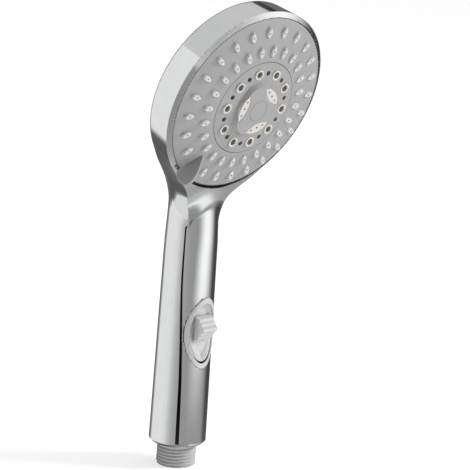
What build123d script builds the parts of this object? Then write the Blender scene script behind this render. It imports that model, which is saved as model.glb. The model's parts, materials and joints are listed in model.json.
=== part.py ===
from build123d import *
from math import cos, radians, sin, sqrt
import os

# Handheld shower head with a turning spray face and a sliding flow valve in its handle.
# Millimetres. +Z runs up the handle's axis, and the spray face looks towards -Y.
# The origin is the centre of the spigot's lower end face, where the hose washer seals.

# Hose connection: G 1/2 pipe thread
THREAD_R = 20.955 / 2
THREAD_PITCH = 1.814
THREAD_DEPTH = 1.05
THREAD_LENGTH = 12.6

# Handle
HANDLE_BASE_Z = THREAD_LENGTH
HANDLE_BASE_R = 15.22
HANDLE_TOP_Z = 162.6
HANDLE_TOP_R = 13.49
HANDLE_WALL = 2.6
NECK_Z = 124.0
END_CHAMFER = 1.6
END_BORE_R = 11.9
END_BORE_DEPTH = 18.0

# Head, in the face frame: z outwards from the plane of the spray plate's edge
TILT = 18.7
FACE_Y = -32.95
FACE_Z = 200.05
BAND_FRONT_R = 50.75
BAND_FRONT_Z = -1.5
BAND_BACK_R = 49.25
BAND_BACK_Z = -15.9
BEVEL_INNER_R = 48.35
BEVEL_INNER_Z = -0.1
BACK_APEX_Z = -27.0
BACK_EDGE_R = 47.6
BACK_DOME_R = 129.0
CUP_R = 48.15
CUP_STEP_Z = -3.5
CUP_LOWER_R = 46.9
LEDGE_R = 44.6
LEDGE_Z = -12.8
DOME_WALL = 2.6

# Spray plate
PLATE_R = 47.78
PLATE_RIM_Z = -3.2
PLATE_THICK = 2.2
DOME_R = 166.4
DOME_RISE = 7.0
SEAM_R = 25.8
SEAM_GAP = 0.3
NOZZLE_COUNT = 24
OUTER_NOZZLE_R = 41.0
INNER_NOZZLE_R = 31.5
NOZZLE_LONG = 3.0
NOZZLE_WIDE = 1.55
NOZZLE_PROUD = 1.15
NOZZLE_BORE_R = 0.45
MAT_THICK = 1.2

# Lever that turns the spray plate, and its stops
LEVER_ANGLE = -40.6
SELECTOR_STEPS = 5
SELECTOR_STEP = 20.3
LEVER_HALF_RIDGE = 0.85
CRESCENT_R = 45.34
CRESCENT_SHIFT = 4.56
CRESCENT_Z = -3.2

# Centre disc
AERATOR_COUNT = 10
AERATOR_R = 20.0
AERATOR_RING_R = 2.75
AERATOR_BORE_R = 1.85
AIR_HOLE_R = 1.3
BOSS_TOP_Z = 8.7
BOSS_CORNER_R = 16.0
BOSS_SIDE_R = 13.2
INSERT_R = 10.4
INSERT_LONG = 7.5
INSERT_WIDE = 2.5
CAP_R = 5.6

# Selector works behind the spray plate
POST_R = 4.0
POST_TOP_Z = 2.4
SLEEVE_BORE_R = 4.08
SLEEVE_R = 5.4
PORT_CIRCLE_R = 17.0
PORT_R = 2.2
DIVERTER_BACK_Z = -8.7
DIVERTER_FRONT_Z = -6.9
CHAMBER_FLOOR_Z = -5.3
ROTOR_R = 45.6
MANIFOLD_FRONT_Z = -9.2
MANIFOLD_R = 46.5
SCREW_CIRCLE_R = 36.0
DETENT_R = 1.9

# Flow valve in the handle
VALVE_Z = 74.85
BEZEL_HALF_HEIGHT = 19.05
BEZEL_HALF_WIDTH = 10.1
BEZEL_FACE_R = 14.95
OPENING_HALF_HEIGHT = 15.0
OPENING_HALF_WIDTH = 7.7
SLIDE_TRAVEL = 3.5
SLIDER_FACE_R = 14.0
SLIDER_BACK_R = 12.4
GRIP_HALF_WIDTH = 5.3
GRIP_PEAK_Z = 77.6
SPOOL_R = 5.0
BORE_R = 5.06
VALVE_BODY_R = 11.3
VALVE_BODY_Z = (34.0, 104.0)

# Water tube
TUBE_R = 4.0
TUBE_BORE_R = 2.6
TUBE_START_Z = 96.0
TUBE_COLLAR_R = 5.0
TUBE_BEND_R = 60.0
CHANNEL_Z = -17.2
TUBE_END_UP = -22.5
SOCKET_R = 5.1

COS_TILT = cos(radians(TILT))
SIN_TILT = sin(radians(TILT))
FACE_PLANE = Plane(origin=(0, FACE_Y, FACE_Z), x_dir=(1, 0, 0), z_dir=(0, -COS_TILT, -SIN_TILT))
HEAD = Location(FACE_PLANE)


def handle_radius(z):
    slope = (HANDLE_TOP_R - HANDLE_BASE_R) / (HANDLE_TOP_Z - HANDLE_BASE_Z)
    return HANDLE_BASE_R + slope * (z - HANDLE_BASE_Z)


def dome_z(radius, below=0.0):
    """Height of the spray plate's dome at a radius, or of a surface that far below it."""
    return sqrt(DOME_R**2 - radius**2) - (DOME_R - DOME_RISE) - below


def back_z(radius, inset=0.0):
    """Height of the head's domed back at a radius, or of the surface inset into it."""
    return BACK_APEX_Z + BACK_DOME_R - sqrt((BACK_DOME_R - inset) ** 2 - radius**2)


def on_face(radius, angle, z=0.0):
    """Place on the face at an angle from its lowest point, with local x pointing outwards."""
    turn = radians(angle)
    return Pos(radius * sin(turn), -radius * cos(turn), z) * Rot(0, 0, angle - 90)


def at_head(x, up, z):
    """A point of the face frame in the handle's frame."""
    y_out = FACE_Y - up * SIN_TILT - z * COS_TILT
    z_out = FACE_Z + up * COS_TILT - z * SIN_TILT
    return (x, y_out, z_out)


def disc(radius, low, high):
    return Pos(0, 0, low) * Cylinder(radius, high - low, align=(Align.CENTER, Align.CENTER, Align.MIN))


def ring(outer, inner, low, high):
    return disc(outer, low, high) - disc(inner, low - 1, high + 1)


def turned(lines):
    """Solid of revolution about Z from a closed outline of (radius, z) lines."""
    outline = Rot(90, 0, 0) * make_face(lines)
    return revolve(outline, Axis.Z)


def torus(major, minor, z):
    return Pos(0, 0, z) * Torus(major, minor)


def oval_bar(half_width, half_height, near, far):
    """Oval bar through the handle's front, from y = near to y = far."""
    front = Plane(origin=(0, near, VALVE_Z), x_dir=(1, 0, 0), z_dir=(0, -1, 0))
    return extrude(front * Ellipse(half_width, half_height), near - far)


def coil(radius, wire, turns, low, high):
    """Compression spring standing on the XY plane."""
    pitch = (high - low - 2 * wire) / turns
    path = Pos(0, 0, low + wire) * Helix(pitch=pitch, height=high - low - 2 * wire, radius=radius)
    section = Plane(origin=path @ 0, z_dir=path % 0) * Circle(wire)
    return sweep(section, path=path, is_frenet=True)


def neck(sections):
    """Loft through level ovals given as (z, front y, back y, half width)."""
    ovals = []
    for z, front, back, half_width in sections:
        centre = Plane(origin=(0, (front + back) / 2, z))
        ovals.append(centre * Ellipse(half_width, (back - front) / 2))
    return loft(ovals)


def body_shell():
    """Chromed handle and head in one moulding, hollow throughout."""
    band = Polyline(
        (0, BEVEL_INNER_Z),
        (BEVEL_INNER_R, BEVEL_INNER_Z),
        (BAND_FRONT_R, BAND_FRONT_Z),
        (BAND_BACK_R, BAND_BACK_Z),
    )
    back_edge_z = back_z(BACK_EDGE_R)
    shoulder = ThreePointArc((BAND_BACK_R, BAND_BACK_Z), (48.85, -17.2), (BACK_EDGE_R, back_edge_z))
    back = ThreePointArc((BACK_EDGE_R, back_edge_z), (24.0, back_z(24.0)), (0, BACK_APEX_Z))
    head = HEAD * turned([band, shoulder, back, Line((0, BACK_APEX_Z), (0, BEVEL_INNER_Z))])

    handle = turned(
        Polyline(
            (0, HANDLE_BASE_Z),
            (HANDLE_BASE_R - END_CHAMFER, HANDLE_BASE_Z),
            (handle_radius(HANDLE_BASE_Z + END_CHAMFER), HANDLE_BASE_Z + END_CHAMFER),
            (handle_radius(NECK_Z), NECK_Z),
            (0, NECK_Z),
            close=True,
        )
    )
    outer_neck = neck(
        [
            (NECK_Z, -handle_radius(NECK_Z), handle_radius(NECK_Z), handle_radius(NECK_Z)),
            (137.0, -13.85, 13.75, 14.0),
            (149.0, -14.6, 13.5, 16.8),
            (157.0, -12.5, 12.9, 21.5),
            (165.0, -8.4, 11.6, 25.5),
            (174.0, -6.0, 9.0, 25.0),
            (186.0, -8.0, 4.2, 20.5),
            (198.0, -15.0, -3.0, 13.0),
        ]
    )
    shell = head + handle + outer_neck

    cup_walls = Polyline(
        (0, 1),
        (CUP_R, 1),
        (CUP_R, CUP_STEP_Z),
        (CUP_LOWER_R, CUP_STEP_Z),
        (CUP_LOWER_R, LEDGE_Z),
        (LEDGE_R, LEDGE_Z),
        (LEDGE_R, back_z(LEDGE_R, DOME_WALL)),
    )
    cup_back = ThreePointArc(
        (LEDGE_R, back_z(LEDGE_R, DOME_WALL)),
        (24.0, back_z(24.0, DOME_WALL)),
        (0, BACK_APEX_Z + DOME_WALL),
    )
    cup = turned([cup_walls, cup_back, Line((0, BACK_APEX_Z + DOME_WALL), (0, 1))])
    boss_places = [on_face(SCREW_CIRCLE_R, angle) for angle in (60, 180, 300)]
    for place in boss_places:
        cup -= place * disc(3.2, BACK_APEX_Z, LEDGE_Z)
        cup += place * disc(1.2, -18.0, LEDGE_Z)
    lowest_wall = HANDLE_BASE_Z + END_BORE_DEPTH
    neck_bore_r = handle_radius(NECK_Z) - HANDLE_WALL
    bore = turned(
        Polyline(
            (0, HANDLE_BASE_Z - 1),
            (END_BORE_R, HANDLE_BASE_Z - 1),
            (END_BORE_R, lowest_wall),
            (handle_radius(lowest_wall) - HANDLE_WALL, lowest_wall),
            (neck_bore_r, NECK_Z),
            (0, NECK_Z),
            close=True,
        )
    )
    inner_neck = neck(
        [
            (NECK_Z, -neck_bore_r, neck_bore_r, neck_bore_r),
            (137.0, -11.2, 11.0, 11.3),
            (149.0, -10.2, 10.7, 13.4),
            (157.0, -8.4, 10.0, 17.2),
            (165.0, -6.6, 8.8, 20.5),
            (174.0, -7.0, 6.0, 20.0),
            (186.0, -10.0, 1.2, 15.0),
            (194.0, -14.0, -3.5, 9.5),
        ]
    )
    shell = shell - HEAD * cup - bore - inner_neck

    crescent = Pos(0, -CRESCENT_SHIFT, 0) * disc(CRESCENT_R, CRESCENT_Z, 3)
    shell -= HEAD * crescent

    seat = oval_bar(BEZEL_HALF_WIDTH + 0.05, BEZEL_HALF_HEIGHT + 0.05, -8, -20) - disc(13.9, 40, 110)
    window = oval_bar(9.15, BEZEL_HALF_HEIGHT - 0.25, -5, -20)
    return shell - seat - window


def inlet_spigot():
    """Threaded hose spigot, plugged and bonded into the handle's lower end."""
    bottom = 0.6
    outside = turned(
        Polyline(
            (0, 0),
            (THREAD_R - bottom, 0),
            (THREAD_R, bottom),
            (THREAD_R, THREAD_LENGTH + 0.2),
            (11.8, THREAD_LENGTH + 0.2),
            (11.8, 30.6),
            (0, 30.6),
            close=True,
        )
    )
    path = Pos(0, 0, -THREAD_PITCH) * Helix(pitch=THREAD_PITCH, height=12.7, radius=THREAD_R)
    groove = Polyline((0.15, -0.85), (0.15, 0.85), (-THREAD_DEPTH, 0.12), (-THREAD_DEPTH, -0.12), close=True)
    section = Plane(origin=path @ 0, x_dir=(1, 0, 0), z_dir=path % 0) * make_face(groove)
    thread = sweep(section, path=path, is_frenet=True)
    spigot = outside - thread
    spigot -= disc(7.6, -1, 3.0)
    spigot -= disc(6.0, 2, 24.0)
    spigot -= disc(6.5, 24.0, 31.0)
    return spigot - (ring(12.5, 10.5, 25.6, 27.4))


def inlet_strainer():
    """Sieve that keeps grit out of the valve."""
    frame = ring(7.55, 6.3, 0.3, 3.0)
    sieve = disc(6.4, 1.4, 2.0)
    holes = Sketch() + [place * Circle(0.7) for place in HexLocations(1.15, 5, 5)]
    return frame + (sieve - Pos(0, 0, 1) * extrude(holes, 2))


def flow_regulator():
    """Star insert that holds the flow down as the pressure rises."""
    base = disc(5.95, 12.0, 14.0)
    slots = Sketch() + [place * Circle(0.8) for place in PolarLocations(4.4, 6)]
    base -= Pos(0, 0, 11) * extrude(slots, 4)
    return base + disc(3.4, 14.0, 16.4) + disc(1.3, 16.4, 19.0)


def valve_body():
    """Fixed body of the flow valve, with the spool's bore through it."""
    low, high = VALVE_BODY_Z
    body = disc(VALVE_BODY_R, low, high) + disc(6.4, 24.8, low)
    body -= disc(4.2, 24, 51)
    body -= disc(BORE_R, 50, high + 1)
    body -= ring(7, 5.4, 27.9, 29.3)
    body -= Pos(0, -9, 73.2) * Box(4.0, 9.2, 7.6)
    for z in (42.0, 58.0, 92.0):
        body -= ring(12.5, 9.6, z - 2.5, z + 2.5)
    return body


def valve_spool():
    """Hollow spool; its foot closes the inlet seat when the slider is down."""
    spool = disc(SPOOL_R, 58.0, 92.0) + disc(3.9, 53.7, 58.0)
    spool -= disc(3.0, 56.0, 93.0)
    for angle in (0, 90):
        spool -= Pos(0, 0, 56.9) * Rot(0, 90, angle) * Cylinder(0.85, 12)
    for z in (64.0, 87.0):
        spool -= ring(6, 4.0, z - 0.7, z + 0.7)
    return spool - ring(6, 4.05, 73.3, 76.5)


def valve_bezel():
    """Oval frame let into the handle, over the slider's edges."""
    face = oval_bar(BEZEL_HALF_WIDTH, BEZEL_HALF_HEIGHT, -5, -20)
    opening = oval_bar(OPENING_HALF_WIDTH, OPENING_HALF_HEIGHT, -4, -21)
    skirt_gap = oval_bar(9.12, BEZEL_HALF_HEIGHT - 0.3, -4, -21)
    top = (face & ring(BEZEL_FACE_R, 14.3, 40, 110)) - opening
    skirt = (face & ring(14.4, 13.95, 40, 110)) - skirt_gap
    return top + skirt


def flow_slider():
    """Thumb slide: a curved plate with a stepped grip and a stem that carries the spool."""
    rise = SLIDE_TRAVEL / 2
    outline = Pos(0, 0, rise) * oval_bar(8.5, BEZEL_HALF_HEIGHT - 0.55 - rise, -5, -20)
    plate = outline & ring(SLIDER_FACE_R, SLIDER_BACK_R, 40, 110)
    steps = [
        (-13.0, 6.8),
        (-14.6, 5.9),
        (-15.7, 5.4),
        (-15.9, 3.9),
        (-17.2, 3.4),
        (-17.4, 1.9),
        (-18.8, 1.3),
        (-19.2, 0.5),
        (-19.0, -0.5),
        (-17.3, -1.6),
        (-17.0, -3.0),
        (-15.8, -3.6),
        (-15.5, -5.0),
        (-14.4, -5.8),
        (-13.0, -6.8),
    ]
    side = Plane(origin=(GRIP_HALF_WIDTH, 0, GRIP_PEAK_Z), x_dir=(0, 1, 0), z_dir=(1, 0, 0))
    grip = extrude(side * make_face(Polyline(*steps, close=True)), -2 * GRIP_HALF_WIDTH)
    for sign in (-1, 1):
        scoop = Pos(sign * (GRIP_HALF_WIDTH + 1.55), -14.1, GRIP_PEAK_Z - 1.4) * Box(3.1, 2.0, 17.0)
        scoop &= Pos(sign * 4.6, -13.0, GRIP_PEAK_Z - 1.4) * Rot(90, 0, 0) * Cylinder(11.0, 8.0)
        plate -= scoop - Pos(0, -13, VALVE_Z) * Box(2 * GRIP_HALF_WIDTH, 12, 60)
    stem = Pos(0, -8.5, 74.9) * Box(3.0, 8.6, 3.0)
    return plate + grip + stem


def water_tube():
    """Tube from the valve up the handle, bent into the manifold's socket."""
    bend = at_head(0, (FACE_Y - CHANNEL_Z * COS_TILT) / SIN_TILT, CHANNEL_Z)
    path = FilletPolyline(
        (0, 0, TUBE_START_Z), bend, at_head(0, TUBE_END_UP, CHANNEL_Z), radius=TUBE_BEND_R
    )
    start = Plane(origin=(0, 0, TUBE_START_Z))
    tube = sweep(start * Circle(TUBE_R), path=path) - sweep(start * Circle(TUBE_BORE_R), path=path)
    tube += ring(TUBE_COLLAR_R, TUBE_R - 0.1, TUBE_START_Z, 104.0)
    tube -= ring(6, TUBE_R, 99.3, 100.7)
    return tube - HEAD * Pos(0, TUBE_END_UP - 3.5, CHANNEL_Z) * Rot(90, 0, 0) * ring(6, 3.1, -0.65, 0.65)


def tube_orings():
    lower = torus(4.53, 0.52, 100)
    upper = HEAD * Pos(0, TUBE_END_UP - 3.5, CHANNEL_Z) * Rot(90, 0, 0) * Torus(3.58, 0.46)
    return Compound(children=[lower, upper])


def manifold_base():
    """Fixed plate behind the spray face: it brings the water to one port and carries the pivot post."""
    plate = disc(MANIFOLD_R, LEDGE_Z, MANIFOLD_FRONT_Z) - ring(48, 45.3, -11.85, -10.15)
    plate += Pos(0, -33.0, CHANNEL_Z) * Rot(-90, 0, 0) * disc(SOCKET_R, 0, 21.0)
    plate += disc(POST_R, MANIFOLD_FRONT_Z - 1, POST_TOP_Z)
    plate += disc(5.2, -16.0, LEDGE_Z + 1)
    plate -= disc(2.0, -14.5, POST_TOP_Z + 1)
    plate -= Pos(0, -34.0, CHANNEL_Z) * Rot(-90, 0, 0) * disc(TUBE_R + 0.06, 0, 34.0 + TUBE_END_UP + 0.5)
    plate -= Pos(0, -23.0, CHANNEL_Z) * Rot(-90, 0, 0) * disc(2.3, 0, 6.0)
    plate -= Pos(0, -PORT_CIRCLE_R, 0) * disc(2.3, CHANNEL_Z, MANIFOLD_FRONT_Z)
    plate -= Pos(0, -PORT_CIRCLE_R, 0) * disc(3.8, -12.6, MANIFOLD_FRONT_Z + 1)
    plate += Pos(0, PORT_CIRCLE_R, 0) * disc(3.6, -16.0, LEDGE_Z + 1)
    plate -= Pos(0, PORT_CIRCLE_R, 0) * disc(DETENT_R + 0.1, -15.0, MANIFOLD_FRONT_Z + 1)
    for angle in (60, 180, 300):
        plate -= on_face(SCREW_CIRCLE_R, angle) * (disc(1.7, -13, -9) + disc(3.0, -11.2, -9))
    return plate


def manifold_screws():
    """Three pan-head screws that hold the manifold on the shell's bosses."""
    screws = []
    for angle in (60, 180, 300):
        screw = disc(2.8, -11.2, -9.5) + disc(1.15, -17.5, -11.2)
        screw -= Pos(0, 0, -9.6) * (Box(3.2, 0.6, 1.6) + Box(0.6, 3.2, 1.6))
        screws.append(HEAD * on_face(SCREW_CIRCLE_R, angle) * screw)
    return Compound(children=screws)


def selector_seal():
    """Rubber sleeve that presses on the diverter disc round the open port."""
    seal = ring(3.7, 2.6, -11.0, DIVERTER_BACK_Z - 0.05) + ring(3.7, 2.2, -11.4, -11.0)
    return HEAD * Pos(0, -PORT_CIRCLE_R, 0) * seal


def seal_spring():
    return HEAD * Pos(0, -PORT_CIRCLE_R, 0) * coil(3.1, 0.2, 2, -12.6, -11.4)


def detent_pin():
    """Round-nosed pin that clicks into the diverter disc's dimples."""
    nose = Pos(0, 0, DIVERTER_BACK_Z - 0.05 - DETENT_R) * Sphere(DETENT_R)
    pin = nose + disc(DETENT_R, -12.6, DIVERTER_BACK_Z - 0.05 - DETENT_R)
    return HEAD * Pos(0, PORT_CIRCLE_R, 0) * pin


def detent_spring():
    return HEAD * Pos(0, PORT_CIRCLE_R, 0) * coil(1.45, 0.2, 4, -15.0, -12.6)


def diverter_disc():
    """Back plate of the turning head: five ports on one side, five detent dimples on the other."""
    plate = ring(ROTOR_R - 1.0, SLEEVE_BORE_R, DIVERTER_BACK_Z, DIVERTER_FRONT_Z)
    for step in range(SELECTOR_STEPS):
        plate -= on_face(PORT_CIRCLE_R, -step * SELECTOR_STEP) * disc(PORT_R, -9, -6)
        dimple = Pos(0, 0, DIVERTER_BACK_Z + 0.75 - 2.2) * Sphere(2.2)
        plate -= on_face(PORT_CIRCLE_R, 180 - step * SELECTOR_STEP) * dimple
    return HEAD * plate


def chamber_plate():
    """Water chambers of the spray patterns, with the sleeve that turns on the post."""
    floor = ring(ROTOR_R, SLEEVE_BORE_R, DIVERTER_FRONT_Z, CHAMBER_FLOOR_Z)
    walls = ring(ROTOR_R, ROTOR_R - 1.4, -6.0, dome_z(45.0, 3.6))
    walls += ring(27.6, 26.2, -6.0, dome_z(27.6, 3.5))
    walls += ring(15.8, 14.6, -6.0, dome_z(15.8, PLATE_THICK + 0.05))
    walls += ring(SLEEVE_R, SLEEVE_BORE_R, -6.0, POST_TOP_Z - 0.3)
    for step in range(SELECTOR_STEPS):
        floor -= on_face(PORT_CIRCLE_R, -step * SELECTOR_STEP) * disc(PORT_R, -8, -4)
    for angle in range(20, 380, 60):
        walls -= on_face(26.9, LEVER_ANGLE + angle, -2.6) * Box(3.2, 5.0, 3.0)
    for angle in range(0, 360, 120):
        walls -= on_face(15.2, LEVER_ANGLE + angle, -3.7) * Box(3.2, 3.0, 2.0)
    return HEAD * (floor + walls)


def swirl_ring():
    """Slanted jets that drive the turbine."""
    jets = ring(14.5, 13.2, CHAMBER_FLOOR_Z, -0.8)
    for index in range(6):
        slot = on_face(13.9, index * 60, -3.0) * Rot(0, 0, 50) * Box(6.0, 1.2, 2.4)
        jets -= slot
    return HEAD * jets


def pulse_turbine():
    """Wheel that spins on the sleeve; its half shutter makes the massage jets pulse."""
    wheel = ring(6.7, SLEEVE_R + 0.1, -4.6, 1.2)
    for index in range(8):
        wheel += on_face(9.4, index * 45, -2.3) * Rot(0, 0, 20) * Box(6.2, 0.9, 4.2)
    half = Pos(0, -15, 0.7) * Box(30, 30, 1.0)
    wheel += ring(12.6, 6.4, 0.2, 1.2) & half
    return HEAD * wheel


def lever_sections():
    """Sections of the lever as (radius, half width, top, base, foot)."""
    return [
        (35.2, 0.95, dome_z(35.2) + 0.1, dome_z(35.2), dome_z(35.2, 0.85)),
        (38.5, 1.4, 5.7, dome_z(38.5, 1.0), 0.6),
        (43.0, 2.1, 8.1, 0.35, -0.5),
        (47.5, 2.8, 9.4, 0.3, -0.1),
        (50.2, 2.6, 9.2, 0.9, 0.15),
        (52.8, 1.6, 7.6, 3.2, 2.4),
    ]


def lever_fin():
    """Ridge with a hollow down each side, lofted outwards along the lever."""
    faces = []
    for radius, half, top, base, foot in lever_sections():
        across = Plane(origin=(radius, 0, 0), x_dir=(0, 1, 0), z_dir=(1, 0, 0))
        side = half - LEVER_HALF_RIDGE
        rise = top - base
        low_bend = (LEVER_HALF_RIDGE + 0.30 * side, base + 0.30 * rise)
        edge = [
            Line((-half, foot), (half, foot)),
            Line((half, foot), (half, base)),
            ThreePointArc((half, base), low_bend, (LEVER_HALF_RIDGE, top)),
            Line((LEVER_HALF_RIDGE, top), (-LEVER_HALF_RIDGE, top)),
            ThreePointArc((-LEVER_HALF_RIDGE, top), (-low_bend[0], low_bend[1]), (-half, base)),
            Line((-half, base), (-half, foot)),
        ]
        faces.append(across * make_face(edge))
    return loft(faces, ruled=False)


def nozzle_places():
    pitch = 360 / NOZZLE_COUNT
    places = []
    for index in range(NOZZLE_COUNT):
        if index > 0:
            places.append((OUTER_NOZZLE_R, LEVER_ANGLE + index * pitch))
        places.append((INNER_NOZZLE_R, LEVER_ANGLE + (index + 0.5) * pitch))
    return places


def face_plate():
    """Domed outer spray plate with its lever."""
    inner = SEAM_R + SEAM_GAP / 2
    middle = (inner + PLATE_R) / 2
    top = ThreePointArc((inner, dome_z(inner)), (middle, dome_z(middle)), (PLATE_R - 0.3, dome_z(PLATE_R - 0.3)))
    rim = Polyline(
        (PLATE_R - 0.3, dome_z(PLATE_R - 0.3)),
        (PLATE_R, -0.35),
        (PLATE_R, PLATE_RIM_Z),
        (ROTOR_R + 0.4, PLATE_RIM_Z),
        (ROTOR_R + 0.4, dome_z(ROTOR_R + 0.4, PLATE_THICK)),
    )
    under = ThreePointArc(
        (ROTOR_R + 0.4, dome_z(ROTOR_R + 0.4, PLATE_THICK)),
        (middle, dome_z(middle, PLATE_THICK)),
        (inner, dome_z(inner, PLATE_THICK)),
    )
    plate = turned([top, rim, under, Line((inner, dome_z(inner, PLATE_THICK)), (inner, dome_z(inner)))])
    to_lever = on_face(0, LEVER_ANGLE)
    right = [(section[0], section[1]) for section in lever_sections()]
    left = [(radius, -half) for radius, half in reversed(right)]
    pocket = extrude(Pos(0, 0, -0.2) * make_face(Polyline(*right, *left, close=True)), 8)
    plate -= to_lever * (pocket & ring(45.5, 36, -1, 12))
    plate += to_lever * lever_fin()
    holes = Sketch()
    for radius, angle in nozzle_places():
        holes += on_face(radius, angle, -5) * Ellipse(NOZZLE_LONG + 0.05, NOZZLE_WIDE + 0.05)
    return HEAD * (plate - extrude(holes, 15))


def nozzle_mat():
    """Silicone sheet behind the spray plate, with a soft nozzle through each of its holes."""
    inner = SEAM_R + 1.8
    outer = ROTOR_R - 0.2
    middle = (inner + outer) / 2
    low = PLATE_THICK + MAT_THICK
    top = ThreePointArc(
        (inner, dome_z(inner, PLATE_THICK + 0.02)),
        (middle, dome_z(middle, PLATE_THICK + 0.02)),
        (outer, dome_z(outer, PLATE_THICK + 0.02)),
    )
    under = ThreePointArc((outer, dome_z(outer, low)), (middle, dome_z(middle, low)), (inner, dome_z(inner, low)))
    mat = turned(
        [
            top,
            Line((outer, dome_z(outer, PLATE_THICK + 0.02)), (outer, dome_z(outer, low))),
            under,
            Line((inner, dome_z(inner, low)), (inner, dome_z(inner, PLATE_THICK + 0.02))),
        ]
    )
    bores = Sketch()
    for radius, angle in nozzle_places():
        base = dome_z(radius, PLATE_THICK + 0.6)
        stalk = extrude(Ellipse(NOZZLE_LONG, NOZZLE_WIDE), PLATE_THICK + 0.9)
        tip = extrude(
            Pos(0, 0, PLATE_THICK + 0.9) * Ellipse(NOZZLE_LONG, NOZZLE_WIDE), NOZZLE_PROUD - 0.3, taper=22
        )
        mat += on_face(radius, angle, base) * (stalk + tip)
        bores += on_face(radius, angle, -6) * Circle(NOZZLE_BORE_R)
    return HEAD * (mat - extrude(bores, 20))


def almond(half_long, half_wide):
    upper = ThreePointArc((0, -half_long), (half_wide, 0), (0, half_long))
    lower = ThreePointArc((0, half_long), (-half_wide, 0), (0, -half_long))
    return make_face([upper, lower])


def insert_places():
    return [(INSERT_R, LEVER_ANGLE + angle) for angle in (60, 180, 300)]


def centre_disc():
    """Inner spray disc: raised three-cornered boss, aerator holes and air holes."""
    outer = SEAM_R - SEAM_GAP / 2
    top = ThreePointArc((0, DOME_RISE), (outer / 2, dome_z(outer / 2)), (outer, dome_z(outer)))
    under = ThreePointArc(
        (outer, dome_z(outer, PLATE_THICK)),
        (outer / 2, dome_z(outer / 2, PLATE_THICK)),
        (0, DOME_RISE - PLATE_THICK),
    )
    plate = turned(
        [
            top,
            Line((outer, dome_z(outer)), (outer, dome_z(outer, PLATE_THICK))),
            under,
            Line((0, DOME_RISE - PLATE_THICK), (0, DOME_RISE)),
        ]
    )
    plate += ring(27.0, 24.4, 1.35, 2.45) + ring(outer, 24.4, 1.35, 3.4)
    corner_radius = 2 * BOSS_SIDE_R - BOSS_CORNER_R
    triangle = fillet(RegularPolygon(2 * BOSS_SIDE_R, 3).vertices(), corner_radius)
    boss = Rot(0, 0, LEVER_ANGLE - 90) * Pos(0, 0, 6.0) * extrude(triangle, BOSS_TOP_Z - 6.0, taper=32)
    plate += boss
    plate += ring(7.9, 6.9, 2.0, 5.5)
    plate -= disc(CAP_R + 0.05, 6.4, 10)
    plate -= disc(6.2, 3.0, 6.4)
    cuts = Sketch()
    for index in range(AERATOR_COUNT):
        turn = LEVER_ANGLE + index * 360 / AERATOR_COUNT
        cuts += on_face(AERATOR_R, turn) * Circle(AIR_HOLE_R)
        cuts += on_face(AERATOR_R, turn + 180 / AERATOR_COUNT) * Circle(AERATOR_RING_R + 0.03)
    for radius, angle in insert_places():
        cuts += on_face(radius, angle) * almond(INSERT_LONG + 0.04, INSERT_WIDE + 0.03)
    return HEAD * (plate - extrude(Pos(0, 0, -1) * cuts, 14))


def aerator_rings():
    rings = []
    for index in range(AERATOR_COUNT):
        place = on_face(AERATOR_R, LEVER_ANGLE + (index + 0.5) * 360 / AERATOR_COUNT)
        rings.append(HEAD * place * ring(AERATOR_RING_R, AERATOR_BORE_R, 3.2, dome_z(AERATOR_R) + 0.45))
    return Compound(children=rings)


def aerator_screens():
    screens = []
    openings = [Pos(0.62 * x, 0.62 * y) for x in (-1, 0, 1) for y in (-1, 0, 1)]
    for index in range(AERATOR_COUNT):
        place = on_face(AERATOR_R, LEVER_ANGLE + (index + 0.5) * 360 / AERATOR_COUNT)
        screen = disc(AERATOR_BORE_R - 0.02, 5.0, 5.35)
        for opening in openings:
            screen -= opening * Pos(0, 0, 5.2) * Box(0.42, 0.42, 1)
        screens.append(HEAD * place * screen)
    return Compound(children=screens)


def massage_inserts():
    """Almond-shaped jet inserts, three jets in each."""
    inserts = []
    for radius, angle in insert_places():
        body = extrude(Pos(0, 0, 3.4) * almond(INSERT_LONG, INSERT_WIDE), BOSS_TOP_Z - 0.2 - 3.4)
        for offset in (-3.8, 0, 3.8):
            body -= Pos(0, offset, 0) * disc(0.6, 3, 10)
        inserts.append(HEAD * on_face(radius, angle) * body)
    return Compound(children=inserts)


def centre_cap():
    """Plain snap-in cap over the centre screw."""
    cap = disc(CAP_R, 7.5, BOSS_TOP_Z + 0.1) + ring(CAP_R, 4.7, 6.45, 7.6)
    return HEAD * chamfer(cap.faces().sort_by(Axis.Z)[-1].edges(), 0.25)


def centre_screw():
    screw = disc(3.8, 3.2, 5.6) + disc(1.95, -8.5, 3.2)
    screw -= Pos(0, 0, 5.4) * (Box(4.4, 0.9, 2.4) + Box(0.9, 4.4, 2.4))
    return HEAD * screw


def write(name, shape):
    export_step(shape, f"parts/{name}.step")


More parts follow.
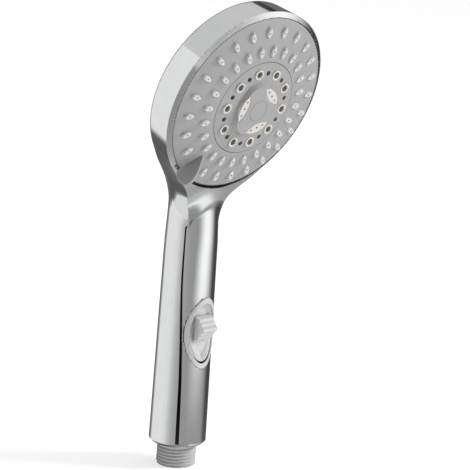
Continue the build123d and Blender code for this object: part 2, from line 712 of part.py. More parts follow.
def main():
    os.makedirs("parts", exist_ok=True)
    write("body_shell", body_shell())
    write("inlet_spigot", inlet_spigot())
    write("spigot_oring", torus(11.2, 0.68, 26.5))
    write("inlet_strainer", inlet_strainer())
    write("flow_regulator", flow_regulator())
    write("regulator_oring", torus(4.05, 0.62, 14.65))
    write("valve_body", valve_body())
    write("valve_inlet_oring", torus(5.95, 0.53, 28.6))
    write("valve_bezel", valve_bezel())
    write("flow_slider", flow_slider())
    write("valve_spool", valve_spool())
    write("spool_orings", Compound(children=[torus(4.53, 0.5, 64.0), torus(4.53, 0.5, 87.0)]))
    write("water_tube", water_tube())
    write("tube_orings", tube_orings())
    write("manifold_base", HEAD * manifold_base())
    write("manifold_oring", HEAD * torus(46.1, 0.75, -11.0))
    write("manifold_screws", manifold_screws())
    write("selector_seal", selector_seal())
    write("seal_spring", seal_spring())
    write("detent_pin", detent_pin())
    write("detent_spring", detent_spring())
    write("diverter_disc", diverter_disc())
    write("chamber_plate", chamber_plate())
    write("swirl_ring", swirl_ring())
    write("pulse_turbine", pulse_turbine())
    write("face_plate", face_plate())
    write("nozzle_mat", nozzle_mat())
    write("centre_disc", centre_disc())
    write("aerator_rings", aerator_rings())
    write("aerator_screens", aerator_screens())
    write("massage_inserts", massage_inserts())
    write("centre_cap", centre_cap())
    write("thrust_washer", HEAD * ring(5.6, 2.2, POST_TOP_Z, 3.2))
    write("centre_screw", centre_screw())


main()
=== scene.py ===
import json
from math import cos, degrees, radians, sin, sqrt

import bpy
import numpy as np
from mathutils import Matrix, Vector


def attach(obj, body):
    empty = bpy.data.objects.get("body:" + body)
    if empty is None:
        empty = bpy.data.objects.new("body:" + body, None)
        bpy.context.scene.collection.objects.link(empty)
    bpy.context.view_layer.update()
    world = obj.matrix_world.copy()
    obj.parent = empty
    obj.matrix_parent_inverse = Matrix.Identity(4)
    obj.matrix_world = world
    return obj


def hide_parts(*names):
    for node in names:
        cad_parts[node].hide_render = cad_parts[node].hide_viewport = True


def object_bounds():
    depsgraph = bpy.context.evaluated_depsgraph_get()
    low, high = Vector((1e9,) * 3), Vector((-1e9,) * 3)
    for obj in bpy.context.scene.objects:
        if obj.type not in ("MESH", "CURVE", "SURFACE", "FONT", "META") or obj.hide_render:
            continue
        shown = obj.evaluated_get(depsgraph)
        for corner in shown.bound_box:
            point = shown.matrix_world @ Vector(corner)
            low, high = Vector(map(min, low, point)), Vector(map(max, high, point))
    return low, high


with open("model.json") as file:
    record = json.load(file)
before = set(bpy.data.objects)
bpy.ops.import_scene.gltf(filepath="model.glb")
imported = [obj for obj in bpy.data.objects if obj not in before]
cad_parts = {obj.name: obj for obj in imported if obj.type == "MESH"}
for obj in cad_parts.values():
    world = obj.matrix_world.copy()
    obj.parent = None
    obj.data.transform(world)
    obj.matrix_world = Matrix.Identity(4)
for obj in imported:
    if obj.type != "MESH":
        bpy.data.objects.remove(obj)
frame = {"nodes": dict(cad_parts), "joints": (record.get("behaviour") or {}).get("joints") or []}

MM = 0.001
cad_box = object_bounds()

# The face frame, from the selector's own joint: x to the side, up along the face, out of the face
SELECT = next(joint for joint in frame["joints"] if joint["name"] == "spray_select")
FACE = np.array(SELECT["pos_m"]) / MM
OUT = np.array(SELECT["axis"]) / np.linalg.norm(SELECT["axis"])
SIDE = np.array([1.0, 0.0, 0.0])
UP = np.cross(OUT, SIDE)

# Chromed body, millimetres
HANDLE_LOW_Z = 12.6
HANDLE_LOW_R = 15.22
HANDLE_TOP_R = 13.49
HANDLE_TAPER_LENGTH = 150.0
HANDLE_TAPER = (HANDLE_TOP_R - HANDLE_LOW_R) / HANDLE_TAPER_LENGTH
END_CHAMFER = 1.6
BAND_FRONT = (50.75, -1.5)
BAND_BACK = (49.25, -15.9)
LIP = (48.15, 0.015)
BACK_R = 129.0
BACK_CENTRE_Z = 102.0
WALL = 2.6
NECK_LEAN = 0.0078
NECK_LEAN_Z = 150.0
NECK_WIDER = 0.12
NECK_THIN = 0.5
NECK_FILLET = 24.0
TOP_FILLET = 5.0
FRONT_FILLET = 6.0
STEM_TOP_Z = 212.0
WEB_SLOPE = 0.49
WEB_FRONT = -7.2
CRESCENT_R = 45.34
CRESCENT_SHIFT = 4.56
BUTTON_Z = 74.85
CUP_FLOORS = ((-3.5, 48.15), (-12.8, 46.9))
CUP_BACK_R = 44.6
CRESCENT_HALF_DEPTH = 3.2
INLET_BORE_R = 11.9
INLET_BORE_TOP = 30.6
BORE_TOP = 192.0

# Oval outlines round the thumb slide, as (half width, half height), and its raised frame
SEAT_OVAL = (10.3, 19.25)
WINDOW_OVAL = (9.15, 18.8)
FRAME_OVAL = (10.1, 19.05)
OPENING_OVAL = (8.4, 16.2)
SKIRT_OVAL = (9.2, 18.75)
FRAME_FACE_R = 14.95
FRAME_SEAT_R = 14.25
FRONT_ONLY_Y = -5.0

# Thumb slide: the grip's terraces as (height from the peak, distance in front of the axis)
GRIP_PEAK_Z = 77.6
GRIP_HALF_WIDTH = 5.3
GRIP_ROUNDING = 0.16
GRIP_STEPS = [
    (-6.9, 12.4),
    (-5.9, 14.6),
    (-5.0, 15.4),
    (-3.7, 15.9),
    (-3.0, 17.0),
    (-1.7, 17.3),
    (-0.6, 19.0),
    (0.5, 19.15),
    (1.2, 18.9),
    (1.9, 17.4),
    (3.5, 17.1),
    (4.0, 15.9),
    (5.5, 15.6),
    (6.1, 14.6),
    (6.9, 12.4),
]
SCOOP_R = 21.7
SCOOP_EDGE = 8.3
SLIDE_OVAL = (8.7, 16.9)
SLIDE_LIFT = 1.75
SLIDE_FACE_R = 14.2
SLIDE_BACK_R = 11.9

# Spray plate, and its lever's sections as (radius, half width, top, base)
DOME_R = 166.4
DOME_RISE = 7.0
PLATE_R = 47.78
PLATE_INNER_R = 25.95
PLATE_BACK_Z = -3.2
PLATE_HOLLOW_R = 46.0
PLATE_WALL = 2.2
NOZZLE_COUNT = 24
OUTER_NOZZLE_R = 41.0
INNER_NOZZLE_R = 31.5
NOZZLE_HALF_LENGTH = 3.06
NOZZLE_HALF_WIDTH = 1.61
LEVER_ANGLE = -40.6
LEVER_RIDGE = 0.85
LEVER_END_R = 52.8
LEVER_SECTIONS = [
    (34.9, 0.95, 3.4, 3.35),
    (36.0, 1.05, 4.4, 2.8),
    (38.5, 1.4, 5.7, 1.5),
    (41.0, 1.8, 7.1, 0.8),
    (43.0, 2.1, 8.1, 0.35),
    (45.0, 2.5, 8.9, 0.32),
    (47.5, 2.8, 9.4, 0.3),
    (49.0, 2.8, 9.4, 0.5),
    (50.2, 2.6, 9.2, 0.9),
    (51.5, 2.1, 8.6, 2.0),
    (52.8, 1.6, 7.6, 3.2),
]
LEVER_START_R = 34.9
LEVER_FOOT = [(43.0, -0.5), (47.5, -0.1), (50.2, 0.15), (52.8, 2.4)]
LEVER_HOLLOWNESS = 3.4
POCKET_R = 40.7
POCKET_HALF_LENGTH = 4.7
BODY_STEP = 0.6


def smooth(t):
    t = np.clip(t, 0, 1)
    return t * t * (3 - 2 * t)


def meet(a, b, radius=0.0):
    """Distance to where two solids overlap, their shared edge rounded."""
    a = a + radius
    b = b + radius
    return np.hypot(np.maximum(a, 0), np.maximum(b, 0)) + np.minimum(np.maximum(a, b), 0) - radius


def join(a, b, radius):
    """Distance to two solids joined with a fillet."""
    return np.maximum(radius, np.minimum(a, b)) - np.hypot(
        np.maximum(radius - a, 0), np.maximum(radius - b, 0)
    )


def beside(radius, z, start, end):
    """Signed distance from the line start-end, positive on its right-hand side."""
    run = np.subtract(end, start)
    run = run / np.linalg.norm(run)
    return (radius - start[0]) * run[1] - (z - start[1]) * run[0]


def in_face(p):
    """Points in the face frame: to the side, up, out, and their distance from its axis."""
    q = p - FACE
    x, up, z = q @ SIDE, q @ UP, q @ OUT
    return x, up, z, np.hypot(x, up)


def oval(p, half_width, half_height, lift=0.0):
    """Distance, near the outline, to an upright oval bar through the handle's front."""
    x, u = p[..., 0], p[..., 2] - BUTTON_Z - lift
    level = np.hypot(x / half_width, u / half_height)
    slope = np.hypot(x / half_width**2, u / half_height**2) / np.maximum(level, 0.05)
    return (level - 1) / np.maximum(slope, 1e-6)


def handle_radius(z):
    return HANDLE_LOW_R + HANDLE_TAPER * (z - HANDLE_LOW_Z)


def stem_field(p):
    """Handle, and the neck that leans forwards into the head."""
    z = p[..., 2]
    above = np.maximum(z - NECK_LEAN_Z, 0)
    wide = 1 + NECK_WIDER * smooth((z - 140) / 30)
    radial = np.hypot(p[..., 0] / wide, p[..., 1] + NECK_LEAN * above**2)
    side = radial - handle_radius(z) + NECK_THIN * smooth((z - 118) / 22)
    side = side / np.hypot(1, 2 * NECK_LEAN * above)
    chamfer = (radial - HANDLE_LOW_R + HANDLE_LOW_Z + END_CHAMFER - z) * sqrt(0.5)
    return np.maximum(np.maximum(side, z - STEM_TOP_Z), np.maximum(chamfer, HANDLE_LOW_Z - z))


def outside_field(p):
    """Head and stem flow together behind. In front the bevel's cone and a sloping web cut them off, which
    leaves a crease from the rim down each side of the neck."""
    _, _, z, radius = in_face(p)
    band = -beside(radius, z, BAND_FRONT, BAND_BACK)
    back = np.hypot(radius, z - BACK_CENTRE_Z) - BACK_R
    front = np.maximum(-beside(radius, z, LIP, BAND_FRONT), z - 2.4)
    stem = stem_field(p)
    h = p[..., 2]
    web = (WEB_FRONT - p[..., 1] - WEB_SLOPE * (h - 141)) / sqrt(1 + WEB_SLOPE**2)
    front = join(front, np.maximum(web, z - BAND_FRONT[1]), 0.01 + 4 * smooth((165 - h) / 10))
    fillet = NECK_FILLET + (TOP_FILLET - NECK_FILLET) * smooth((h - 169) / 31)
    return np.maximum(join(meet(band, back, 1.5), stem, fillet), join(front, stem, FRONT_FILLET))


def hollow_field(p):
    """Everything taken out of the body: cup, handle bore, rim crescent and the button's window."""
    x, up, z, radius = in_face(p)
    h = p[..., 2]
    back = np.hypot(radius, z - BACK_CENTRE_Z) - (BACK_R - WALL)
    cup = radius - CUP_BACK_R
    for floor, cup_r in reversed(CUP_FLOORS):
        cup = np.where(z > floor, radius - cup_r, cup)
    cup = np.maximum(np.maximum(cup, back), z - 3.0)
    crescent = np.maximum(np.hypot(x, up + CRESCENT_SHIFT) - CRESCENT_R, np.abs(z) - CRESCENT_HALF_DEPTH)
    above = np.maximum(h - NECK_LEAN_Z, 0)
    bore_r = handle_radius(h) - WALL - NECK_THIN * smooth((h - 118) / 22)
    bore_r = np.where(h > INLET_BORE_TOP, bore_r, INLET_BORE_R)
    bore = np.maximum(np.hypot(p[..., 0], p[..., 1] + NECK_LEAN * above**2) - bore_r, h - BORE_TOP)
    around = np.hypot(p[..., 0], p[..., 1])
    seat = np.maximum(oval(p, *SEAT_OVAL), np.maximum(13.9 - around, p[..., 1] - FRONT_ONLY_Y))
    window = np.maximum(oval(p, *WINDOW_OVAL), p[..., 1] - FRONT_ONLY_Y)
    return np.minimum(np.minimum(cup, bore), np.minimum(crescent, np.minimum(seat, window)))


def body_field(p):
    return np.maximum(outside_field(p), -hollow_field(p))


def bezel_field(p):
    """Raised oval frame round the thumb slide, and the skirt that seats it in the handle."""
    around = np.hypot(p[..., 0], p[..., 1])
    frame_ring = meet(oval(p, *FRAME_OVAL), -oval(p, *OPENING_OVAL), 0.2)
    top = np.maximum(meet(frame_ring, around - FRAME_FACE_R, 0.35), FRAME_SEAT_R - around)
    skirt = np.maximum(oval(p, *FRAME_OVAL), -oval(p, *SKIRT_OVAL))
    skirt = np.maximum(skirt, abs(around - 14.15) - 0.2)
    return np.maximum(np.minimum(top, skirt), p[..., 1] - FRONT_ONLY_Y)


def grip_height(u):
    """How far the grip stands in front of the handle's axis, at a height from its peak."""
    fine = np.arange(-9, 9, 0.02)
    stepped = np.interp(fine, *np.array(GRIP_STEPS).T)
    kernel = np.exp(-0.5 * (np.arange(-40, 41) * 0.02 / GRIP_ROUNDING) ** 2)
    soft = np.convolve(stepped, kernel / kernel.sum(), "same")
    return np.interp(u, fine, soft), np.interp(u, fine, np.gradient(soft, 0.02))


def slider_field(p):
    """Thumb slide: a curved plate with a stepped grip between two scooped hollows."""
    x, u = abs(p[..., 0]), p[..., 2] - GRIP_PEAK_Z
    around = np.hypot(p[..., 0], p[..., 1])
    inside_scoop = SCOOP_R - np.hypot(x - SCOOP_EDGE + SCOOP_R, u + 0.8)
    depth = 1.6 * smooth(inside_scoop / 3.4) + 0.25 * np.clip(inside_scoop / 0.4, 0, 1)
    plate = np.maximum((around - SLIDE_FACE_R + depth) * 0.85, SLIDE_BACK_R - around)
    plate = np.maximum(np.maximum(plate, oval(p, *SLIDE_OVAL, SLIDE_LIFT)), p[..., 1] - FRONT_ONLY_Y)
    height, rise = grip_height(u)
    grip = (-p[..., 1] - height) / np.sqrt(1 + rise**2)
    grip = np.maximum(meet(grip, x - GRIP_HALF_WIDTH, 0.3), p[..., 1] + 12.5)
    stem = np.maximum(np.maximum(x - 1.5, abs(p[..., 2] - 74.9) - 1.5), abs(p[..., 1] + 8.5) - 4.3)
    return np.minimum(np.minimum(plate, grip), stem)


def dome_height(radius):
    """Height of the plate's dome in the face frame."""
    return np.sqrt(DOME_R**2 - np.minimum(radius, 60) ** 2) - (DOME_R - DOME_RISE)


def ellipse(u, v, long, wide):
    """Distance, near its outline, to an ellipse with the half sizes long and wide."""
    level = np.hypot(u / long, v / wide)
    slope = np.hypot(u / long**2, v / wide**2) / np.maximum(level, 0.05)
    return (level - 1) / np.maximum(slope, 1e-6)


def nozzle_hole(radius, turn, centre_r):
    along, across = radius * np.cos(turn) - centre_r, radius * np.sin(turn)
    return ellipse(along, across, NOZZLE_HALF_LENGTH, NOZZLE_HALF_WIDTH)


def plate_field(q):
    """Domed spray plate and its lever, in the face frame."""
    x, up, z = q[..., 0], q[..., 1], q[..., 2]
    radius = np.hypot(x, up)
    dome = dome_height(radius)
    plate = np.maximum(meet((z - dome) * 0.97, radius - PLATE_R, 0.25), PLATE_INNER_R - radius)
    plate = np.maximum(plate, PLATE_BACK_Z - z)
    plate = np.maximum(plate, -np.maximum(radius - PLATE_HOLLOW_R, z - dome + PLATE_WALL))
    turn = np.degrees(np.arctan2(x, -up)) - LEVER_ANGLE
    pitch = 360 / NOZZLE_COUNT
    nearest = np.mod(turn + pitch / 2, pitch) - pitch / 2
    on_lever = (abs(np.mod(turn + 180, 360) - 180) < pitch / 2) & (radius > 36)
    outer = np.radians(nearest)
    holes = nozzle_hole(radius, outer, OUTER_NOZZLE_R)
    holes = np.where(on_lever, 9.0, holes)
    inner = np.radians(np.mod(turn, pitch) - pitch / 2)
    holes = np.minimum(holes, nozzle_hole(radius, inner, INNER_NOZZLE_R))
    plate = np.maximum(plate, -holes)

    away = radians(LEVER_ANGLE)
    along = x * sin(away) - up * cos(away)
    across = abs(x * cos(away) + up * sin(away))
    stations = np.array(LEVER_SECTIONS).T
    half = np.interp(along, stations[0], stations[1])
    top = np.interp(along, stations[0], stations[2])
    base = np.interp(along, stations[0], stations[3])
    pocket = np.maximum(across - half, abs(along - POCKET_R) - POCKET_HALF_LENGTH)
    pocket = np.maximum(pocket, -0.2 - z)
    plate = np.maximum(plate, -pocket)
    share = np.clip((across - LEVER_RIDGE) / np.maximum(half - LEVER_RIDGE, 0.1), 0, 1)
    height = base + (top - base) * (1 - share) ** LEVER_HOLLOWNESS
    fall = LEVER_HOLLOWNESS * (top - base) * (1 - share) ** (LEVER_HOLLOWNESS - 1)
    fall = fall / np.maximum(half - LEVER_RIDGE, 0.1)
    fall = np.where(across > LEVER_RIDGE, fall, 0)
    lever = (z - height) / np.sqrt(1 + fall**2)
    sides = meet(across - half, along - LEVER_END_R, 0.8)
    lever = np.maximum(lever, np.maximum(sides, LEVER_START_R - along))
    foot = np.interp(along, *np.array(LEVER_FOOT).T)
    lever = np.maximum(lever, foot - z)
    return np.minimum(plate, lever)


def gradient(field, p, reach=0.02):
    slope = np.empty_like(p)
    for axis in range(3):
        shift = np.zeros(3)
        shift[axis] = reach
        slope[:, axis] = (field(p + shift) - field(p - shift)) / (2 * reach)
    return slope


def settle(field, p, limit):
    """Moves points along the field's slope onto its surface, by at most limit."""
    slope = gradient(field, p)
    step = field(p) / np.maximum((slope**2).sum(1), 0.25)
    return p - np.clip(step, -limit, limit)[:, None] * slope


def unit(v):
    return v / np.maximum(np.linalg.norm(v, axis=-1, keepdims=True), 1e-9)


def edge_crossings(field, grid, inside, step, axis):
    """Grid edges along an axis that the surface crosses: their lower corners and crossing points."""
    count = inside.shape[axis]
    change = np.take(inside, range(count - 1), axis) != np.take(inside, range(1, count), axis)
    corner = np.argwhere(change)
    low = grid[tuple(corner.T)]
    along = np.zeros(3)
    along[axis] = step
    start_inside = inside[tuple(corner.T)]
    near, far = np.zeros(len(low)), np.ones(len(low))
    for _ in range(14):
        middle = (near + far) / 2
        same = (field(low + middle[:, None] * along) < 0) == start_inside
        near = np.where(same, middle, near)
        far = np.where(same, far, middle)
    return corner, low + ((near + far) / 2)[:, None] * along, start_inside


def surface_mesh(field, low, high, step):
    """Quads on field = 0. Each grid cell's vertex fits the planes that cross it, so edges stay sharp."""
    axes = [np.arange(a, b + step, step) for a, b in zip(low, high)]
    grid = np.stack(np.meshgrid(*axes, indexing="ij"), -1)
    inside = field(grid) < 0
    shape = inside.shape
    cells, points, normals, quads = [], [], [], []
    for axis in range(3):
        corner, crossing, start_inside = edge_crossings(field, grid, inside, step, axis)
        slope = unit(gradient(field, crossing))
        u, v = (axis + 1) % 3, (axis + 2) % 3
        around = []
        for du, dv in ((-1, -1), (0, -1), (0, 0), (-1, 0)):
            cell = corner.copy()
            cell[:, u] += du
            cell[:, v] += dv
            around.append(np.ravel_multi_index(tuple(cell.T), shape))
            points.append(crossing)
            normals.append(slope)
        cells.extend(around)
        quad = np.stack(around, 1)
        quads.append(np.where(start_inside[:, None], quad, quad[:, ::-1]))
    points, normals = np.concatenate(points), np.concatenate(normals)
    ids, owner = np.unique(np.concatenate(cells), return_inverse=True)
    tally = np.bincount(owner)

    def total(values):
        return np.bincount(owner, values)

    mean = np.stack([total(points[:, k]) / tally for k in range(3)], 1)
    offset = ((points - mean[owner]) * normals).sum(1)
    matrix = np.empty((len(ids), 3, 3))
    right = np.empty((len(ids), 3))
    for row in range(3):
        right[:, row] = total(offset * normals[:, row])
        for column in range(3):
            matrix[:, row, column] = total(normals[:, row] * normals[:, column])
    matrix += 0.05 * np.eye(3)
    fitted = mean + np.linalg.solve(matrix, right[..., None])[..., 0]
    corner = np.array(low) + step * np.stack(np.unravel_index(ids, shape), 1)
    fitted = np.clip(fitted, corner, corner + step)
    faces = np.searchsorted(ids, np.concatenate(quads))
    straight = np.linalg.eigvalsh(matrix / tally[:, None, None])[:, 1] < 0.02
    fitted[straight] = settle(field, fitted[straight], 0.2 * step)
    return fitted, faces


def corner_normals(field, vertices, quads):
    """True normals for the faces' corners, each taken on its own side of a sharp edge."""
    at_vertex = unit(gradient(field, vertices))[quads]
    centre = vertices[quads].mean(1)
    inward = vertices[quads] * 0.7 + centre[:, None] * 0.3
    on_face = unit(gradient(field, inward.reshape(-1, 3))).reshape(at_vertex.shape)
    flat = (at_vertex * on_face).sum(-1, keepdims=True) > cos(radians(12))
    spread = (at_vertex * unit(on_face.mean(1, keepdims=True))).sum(-1, keepdims=True) > cos(radians(25))
    return np.where(flat & spread, at_vertex, on_face)


def mesh_object(name, vertices, faces, material, normals=None):
    """vertices in millimetres."""
    mesh = bpy.data.meshes.new(name)
    mesh.from_pydata((np.asarray(vertices) * MM).tolist(), [], [list(map(int, f)) for f in faces])
    mesh.materials.append(material)
    mesh.shade_smooth()
    if normals is not None:
        mesh.normals_split_custom_set(normals.reshape(-1, 3).tolist())
    piece = bpy.data.objects.new(name, mesh)
    bpy.context.scene.collection.objects.link(piece)
    return piece


# ---- materials -------------------------------------------------------------------------------


def new_material(name):
    material = bpy.data.materials.new(name)
    material.use_nodes = True
    tree = material.node_tree
    return material, tree, tree.nodes["Principled BSDF"]


def noise(tree, scale, detail=3.0, roughness=0.55):
    place = tree.nodes.new("ShaderNodeTexCoord")
    texture = tree.nodes.new("ShaderNodeTexNoise")
    texture.inputs["Scale"].default_value = scale
    texture.inputs["Detail"].default_value = detail
    texture.inputs["Roughness"].default_value = roughness
    tree.links.new(place.outputs["Object"], texture.inputs["Vector"])
    return texture.outputs["Fac"]


def between(tree, value, low, high):
    """Maps a texture's middle half to the range low-high."""
    node = tree.nodes.new("ShaderNodeMapRange")
    node.inputs["From Min"].default_value = 0.3
    node.inputs["From Max"].default_value = 0.7
    node.inputs["To Min"].default_value = low
    node.inputs["To Max"].default_value = high
    tree.links.new(value, node.inputs["Value"])
    return node.outputs["Result"]


def shades(tree, value, dark, light):
    ramp = tree.nodes.new("ShaderNodeValToRGB")
    ramp.color_ramp.elements[0].position = 0.3
    ramp.color_ramp.elements[0].color = (*dark, 1)
    ramp.color_ramp.elements[1].position = 0.7
    ramp.color_ramp.elements[1].color = (*light, 1)
    tree.links.new(value, ramp.inputs["Fac"])
    return ramp.outputs["Color"]


def bump(tree, shader, value, strength, distance):
    node = tree.nodes.new("ShaderNodeBump")
    node.inputs["Strength"].default_value = strength
    node.inputs["Distance"].default_value = distance
    tree.links.new(value, node.inputs["Height"])
    tree.links.new(node.outputs["Normal"], shader.inputs["Normal"])


def finish_material(name, dark, light, rough, metallic=0.0, grain=900.0, depth=0.00002):
    """Two close shades from a fine grain that is raised a little, and roughness from a broad one."""
    material, tree, shader = new_material(name)
    shader.inputs["Metallic"].default_value = metallic
    fine = noise(tree, grain)
    broad = noise(tree, grain / 22, 2.0)
    tree.links.new(shades(tree, fine, dark, light), shader.inputs["Base Color"])
    tree.links.new(between(tree, broad, *rough), shader.inputs["Roughness"])
    if depth:
        bump(tree, shader, fine, 0.35, depth)
    return material


def grey(value, warmth=0.0):
    return (value * (1 + warmth), value, value * (1 - warmth))


chrome = finish_material("chrome", (0.86, 0.865, 0.875), (0.90, 0.905, 0.91), (0.012, 0.035), 1.0, 140, 0)
satin = finish_material("satin_silver", grey(0.36), grey(0.40), (0.33, 0.40), 0.25, 2600, 0.00001)
satin_chrome = finish_material("satin_chrome", grey(0.62), grey(0.66), (0.26, 0.33), 0.25, 2200, 0.000008)
silicone = finish_material("silicone", grey(0.52, 0.02), grey(0.58, 0.02), (0.45, 0.58), 0, 900)
cream = finish_material("cream_plastic", grey(0.54, 0.05), grey(0.60, 0.05), (0.30, 0.40), 0, 700)
gauze = finish_material("gauze", (0.20, 0.19, 0.15), (0.30, 0.29, 0.24), (0.35, 0.5), 0.7, 1500)
grey_plastic = finish_material("grey_plastic", grey(0.50), grey(0.56), (0.30, 0.42), 0.0, 800, 0.00001)
white_plastic = finish_material("white_plastic", grey(0.62), grey(0.68), (0.38, 0.48), 0, 600)
# Near-black plastic for the dark inner parts; the same material also paints shade on the shell's inside faces
dark_plastic = finish_material("dark_plastic", grey(0.035), grey(0.05), (0.4, 0.5), 0, 600)
rubber = finish_material("seal_rubber", grey(0.012), grey(0.025), (0.5, 0.65), 0, 500)
steel = finish_material("steel", grey(0.50), grey(0.60), (0.18, 0.3), 1.0, 900, 0)

FINISHES = {
    chrome: ["body_shell"],
    satin: ["face_plate", "centre_disc", "centre_cap"],
    satin_chrome: ["valve_bezel", "flow_slider"],
    silicone: ["nozzle_mat"],
    cream: ["aerator_rings", "massage_inserts"],
    gauze: ["aerator_screens"],
    grey_plastic: ["inlet_spigot"],
    white_plastic: [
        "inlet_strainer",
        "flow_regulator",
        "valve_body",
        "valve_spool",
        "water_tube",
        "diverter_disc",
        "chamber_plate",
        "swirl_ring",
    ],
    dark_plastic: ["manifold_base", "pulse_turbine"],
    rubber: [
        "spigot_oring",
        "regulator_oring",
        "valve_inlet_oring",
        "spool_orings",
        "tube_orings",
        "manifold_oring",
        "selector_seal",
    ],
    steel: ["manifold_screws", "seal_spring", "detent_spring", "detent_pin", "thrust_washer", "centre_screw"],
}
for material, nodes in FINISHES.items():
    for node in nodes:
        for material_slot in frame["nodes"][node].material_slots:
            material_slot.material = material

# ---- pieces ----------------------------------------------------------------------------------


def make_body():
    vertices, quads = surface_mesh(body_field, (-52, -52, 11.7), (52, 17, 253), BODY_STEP)
    body = mesh_object("chrome_body", vertices, quads, chrome, corner_normals(body_field, vertices, quads))
    # Faces inside the shell, seen through the rim's crescent gap, get the near-black material as painted
    # shade
    centres = vertices[quads].mean(1)
    inner = outside_field(centres) < -0.3
    body.data.materials.append(dark_plastic)
    body.data.polygons.foreach_set("material_index", inner.astype(np.int32))
    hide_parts("body_shell")
    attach(body, "handset")


def make_plate():
    step = 0.45
    vertices, quads = surface_mesh(plate_field, (-52, -54, -3.8), (52, 49, 10.4), step)
    normals = corner_normals(plate_field, vertices, quads)
    turn = np.stack([SIDE, UP, OUT])
    piece = mesh_object("spray_plate", FACE + vertices @ turn, quads, satin, normals @ turn)
    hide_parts("face_plate")
    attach(piece, "spray_head")


def make_slide():
    step = 0.3
    for name, node, body, field, high in (
        ("slide_frame", "valve_bezel", "handset", bezel_field, -4.5),
        ("thumb_slide", "flow_slider", "flow_control", slider_field, -3.5),
    ):
        vertices, quads = surface_mesh(field, (-11.3, -20.3, 54.7), (11.3, high, 95.2), step)
        piece = mesh_object(name, vertices, quads, satin_chrome, corner_normals(field, vertices, quads))
        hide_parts(node)
        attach(piece, body)


make_body()
make_plate()
make_slide()

# ---- studio ----------------------------------------------------------------------------------

VIEW_AZIMUTH = radians(-45.716)
VIEW_ELEVATION = radians(13.03)
VIEW_ROLL = radians(4.298)
VIEW_DISTANCE = 1.2
AIM_HEIGHT = 0.1376
AIM_RIGHT = 0.021681
AIM_RISE = -0.012664
LENS = 177.05

# Levels of the surroundings, 1 being white, and the leaning softbox in degrees
CEILING_LEVEL = 0.60
SHEET_LEVEL = 0.92
GLOW_LEVEL = 0.72
ABOVE_BLACK_LEVEL = 0.58
BLACK_LEVEL = 0.012
STRIP_LEVEL = 0.004
GLOW_MIDDLE = 23
GLOW_LEAN = 1.4

# Azimuth of the black strip against elevation, in degrees
STRIP_START = -71.5
STRIP_BEND = 21.0
STRIP_BEND_TOP = -12.6
STRIP_BEND_LOW = -15.6
STRIP_EVEN_TOP = -15.0
STRIP_EVEN_DROP = 5.0
STRIP_EVEN_RATE = 3.25


def make_camera():
    back = Vector(
        (
            sin(VIEW_AZIMUTH) * cos(VIEW_ELEVATION),
            -cos(VIEW_AZIMUTH) * cos(VIEW_ELEVATION),
            sin(VIEW_ELEVATION),
        )
    )
    level = Vector((cos(VIEW_AZIMUTH), sin(VIEW_AZIMUTH), 0))
    rise = back.cross(level)
    right = cos(VIEW_ROLL) * level + sin(VIEW_ROLL) * rise
    top = cos(VIEW_ROLL) * rise - sin(VIEW_ROLL) * level
    place = Vector((0, 0, AIM_HEIGHT)) + AIM_RIGHT * right + AIM_RISE * top + VIEW_DISTANCE * back
    data = bpy.data.cameras.new("camera")
    data.lens = LENS
    camera = bpy.data.objects.new("camera", data)
    camera.matrix_world = Matrix.Translation(place) @ Matrix((right, top, back)).transposed().to_4x4()
    bpy.context.scene.collection.objects.link(camera)
    bpy.context.scene.camera = camera


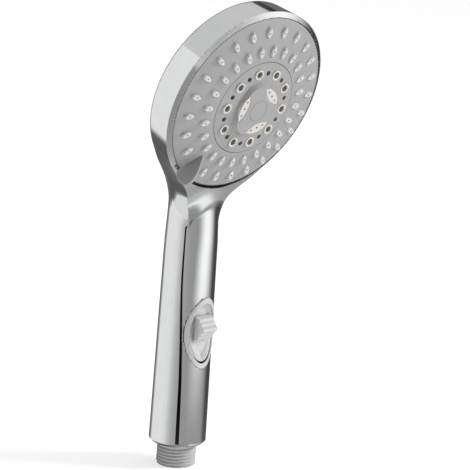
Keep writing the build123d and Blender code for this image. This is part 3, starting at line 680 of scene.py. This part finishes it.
def make_world():
    world = bpy.data.worlds.new("studio")
    bpy.context.scene.world = world
    world.use_nodes = True
    tree = world.node_tree
    tree.nodes.clear()
    link = tree.links.new

    def math(operation, a, b=None, clamp=False):
        node = tree.nodes.new("ShaderNodeMath")
        node.operation = operation
        node.use_clamp = clamp
        for socket, value in zip(node.inputs, (a, b)):
            if isinstance(value, (int, float)):
                socket.default_value = value
            elif value is not None:
                link(value, socket)
        return node.outputs[0]

    def ramp(value, stops):
        node = tree.nodes.new("ShaderNodeValToRGB")
        elements = node.color_ramp.elements
        while len(elements) > 1:
            elements.remove(elements[-1])
        for index, (position, level) in enumerate(stops):
            element = elements[0] if index == 0 else elements.new(position)
            element.position = position
            element.color = (level, level, level, 1)
        link(value, node.inputs["Fac"])
        return node.outputs["Color"]

    def mix(share, a, b):
        """a where share is 0, b where it is 1."""
        return math("ADD", math("MULTIPLY", math("SUBTRACT", 1, share), a), math("MULTIPLY", share, b))

    def step(value, start, stop):
        node = tree.nodes.new("ShaderNodeMapRange")
        node.interpolation_type = "SMOOTHSTEP"
        node.inputs["From Min"].default_value = start
        node.inputs["From Max"].default_value = stop
        link(value, node.inputs["Value"])
        return node.outputs["Result"]

    coordinate = tree.nodes.new("ShaderNodeTexCoord")
    split = tree.nodes.new("ShaderNodeSeparateXYZ")
    link(coordinate.outputs["Generated"], split.inputs[0])
    x, y, z = split.outputs
    azimuth = math("MULTIPLY", math("ARCTAN2", x, math("MULTIPLY", y, -1)), degrees(1))
    elevation = math("MULTIPLY", math("ARCSINE", z), degrees(1))

    # Walls: a broad softbox behind on the left, greys in front, a bright panel in front on the right
    around = math("ADD", math("DIVIDE", azimuth, 360), 0.5)

    def place(turn):
        """A turn in degrees, as a position on the ramps that go all the way round."""
        return turn / 360 + 0.5

    wall = ramp(
        around,
        [
            (place(-180), 0.40),
            (place(-172), 0.81),
            (place(-120), 0.81),
            (place(-100), 0.74),
            (place(-88), 0.58),
            (place(-72), 0.42),
            (place(-45), 0.33),
            (place(-15), 0.30),
            (place(55), 0.31),
            (place(66), 0.22),
            (place(78), 0.08),
            (place(100), 0.05),
            (place(112), 0.10),
            (place(118), 0.15),
            (place(132), 0.15),
            (place(170), 0.17),
            (place(180), 0.40),
        ],
    )
    low_grey = ramp(
        around,
        [
            (place(-180), 0.12),
            (place(-172), 0.30),
            (place(-166), 0.76),
            (place(-84), 0.72),
            (place(-74), 0.40),
            (place(-45), 0.30),
            (place(-20), 0.27),
            (place(20), 0.40),
            (place(60), 0.50),
            (place(90), 0.36),
            (place(125), 0.30),
            (place(140), 0.20),
            (place(165), 0.10),
            (place(180), 0.12),
        ],
    )
    sheet = math("MULTIPLY", step(azimuth, -8, 14), step(azimuth, 66, 36))
    sheet_height = math("MULTIPLY", step(elevation, -17, -22), step(elevation, -58, -44))
    sheet = math("MULTIPLY", sheet, sheet_height)
    low_grey = mix(sheet, low_grey, SHEET_LEVEL)
    band_black = math("MULTIPLY", step(azimuth, 105, 112), step(azimuth, 131, 127))
    band_height = math("MULTIPLY", step(elevation, 20, 22), step(elevation, 31, 28))
    band_black = math("MULTIPLY", band_black, band_height)
    above_black = math("MULTIPLY", step(elevation, 29, 32), step(azimuth, 100, 110))
    lit = mix(above_black, wall, ABOVE_BLACK_LEVEL)
    lit = mix(band_black, lit, BLACK_LEVEL)
    # Softbox in front, leaning: its middle moves to the right as it rises
    height = math("ADD", math("MAXIMUM", math("MINIMUM", elevation, 12), -18), 13)
    middle = math("ADD", math("MULTIPLY", height, GLOW_LEAN), GLOW_MIDDLE)
    from_middle = math("ABSOLUTE", math("SUBTRACT", azimuth, middle))
    glow = math("MULTIPLY", step(from_middle, 50, 4), step(elevation, -17.5, -12.5))
    glow = math("MULTIPLY", math("MULTIPLY", glow, step(elevation, 40, 20)), GLOW_LEVEL)
    lit = math("ADD", lit, glow)
    # Black strip: it swings to the front as it drops, in one soft bend and then evenly
    bend = math("MULTIPLY", step(elevation, STRIP_BEND_TOP, STRIP_BEND_LOW), STRIP_BEND)
    drop = math("MINIMUM", math("SUBTRACT", STRIP_EVEN_TOP, elevation), STRIP_EVEN_DROP)
    even = math("MULTIPLY", math("MAXIMUM", drop, 0), STRIP_EVEN_RATE)
    strip_centre = math("ADD", math("ADD", bend, even), STRIP_START)
    strip_width = math("MULTIPLY", math("MAXIMUM", math("MINIMUM", elevation, -12.0), -18.0), -0.85)
    strip_width = math("ADD", strip_width, -7.3)
    away = math("ABSOLUTE", math("SUBTRACT", azimuth, strip_centre))
    past_edge = math("MULTIPLY", math("SUBTRACT", away, strip_width), 0.8, clamp=True)
    strip = math("SUBTRACT", 1, past_edge, clamp=True)
    strip = math("MULTIPLY", strip, step(elevation, -26, -20))
    strip = math("MULTIPLY", strip, step(elevation, 4, -4))
    lit = mix(strip, lit, STRIP_LEVEL)
    with_ceiling = mix(step(elevation, 38, 40), lit, CEILING_LEVEL)
    behind = step(azimuth, -62, -72)
    below_front = step(elevation, -16, -24)
    below_back = step(elevation, -26, -28)
    below = mix(behind, below_front, below_back)
    level = mix(below, with_ceiling, low_grey)

    shown = tree.nodes.new("ShaderNodeLightPath")
    soft_light = ramp(
        around,
        [
            (place(-180), 0.06),
            (place(-60), 0.08),
            (place(0), 0.50),
            (place(60), 1.00),
            (place(120), 0.80),
            (place(180), 0.06),
        ],
    )
    soft_light = mix(step(elevation, 20, 70), soft_light, 0.60)
    soft_light = mix(step(elevation, -5, -50), soft_light, 0.30)
    level = mix(shown.outputs["Is Diffuse Ray"], level, soft_light)
    seen = mix(shown.outputs["Is Camera Ray"], level, 1.0)
    background = tree.nodes.new("ShaderNodeBackground")
    link(seen, background.inputs["Color"])
    output = tree.nodes.new("ShaderNodeOutputWorld")
    link(background.outputs[0], output.inputs["Surface"])


def make_light(name, place, width, watts):
    data = bpy.data.lights.new(name, "AREA")
    data.size = width
    data.energy = watts
    light = bpy.data.objects.new(name, data)
    aim = Vector((0, 0, 0.17)) - Vector(place)
    light.matrix_world = Matrix.Translation(place) @ aim.to_track_quat("-Z", "Y").to_matrix().to_4x4()
    light.visible_glossy = False
    bpy.context.scene.collection.objects.link(light)


def make_floor():
    material, _, shader = new_material("floor")
    shader.inputs["Base Color"].default_value = (0.9, 0.9, 0.9, 1)
    shader.inputs["Roughness"].default_value = 0.9
    shader.inputs["Emission Color"].default_value = (1, 1, 1, 1)
    shader.inputs["Emission Strength"].default_value = 0.48
    half = 6000.0
    z = cad_box[0][2] / MM - 0.05
    corners = [(-half, -half, z), (half, -half, z), (half, half, z), (-half, half, z)]
    floor = mesh_object("floor", corners, [(0, 1, 2, 3)], material)
    floor.visible_glossy = False


make_camera()
make_world()
make_floor()
make_light("key", (0.9, -0.75, 0.75), 0.35, 12)
bpy.context.scene.view_settings.view_transform = "Standard"
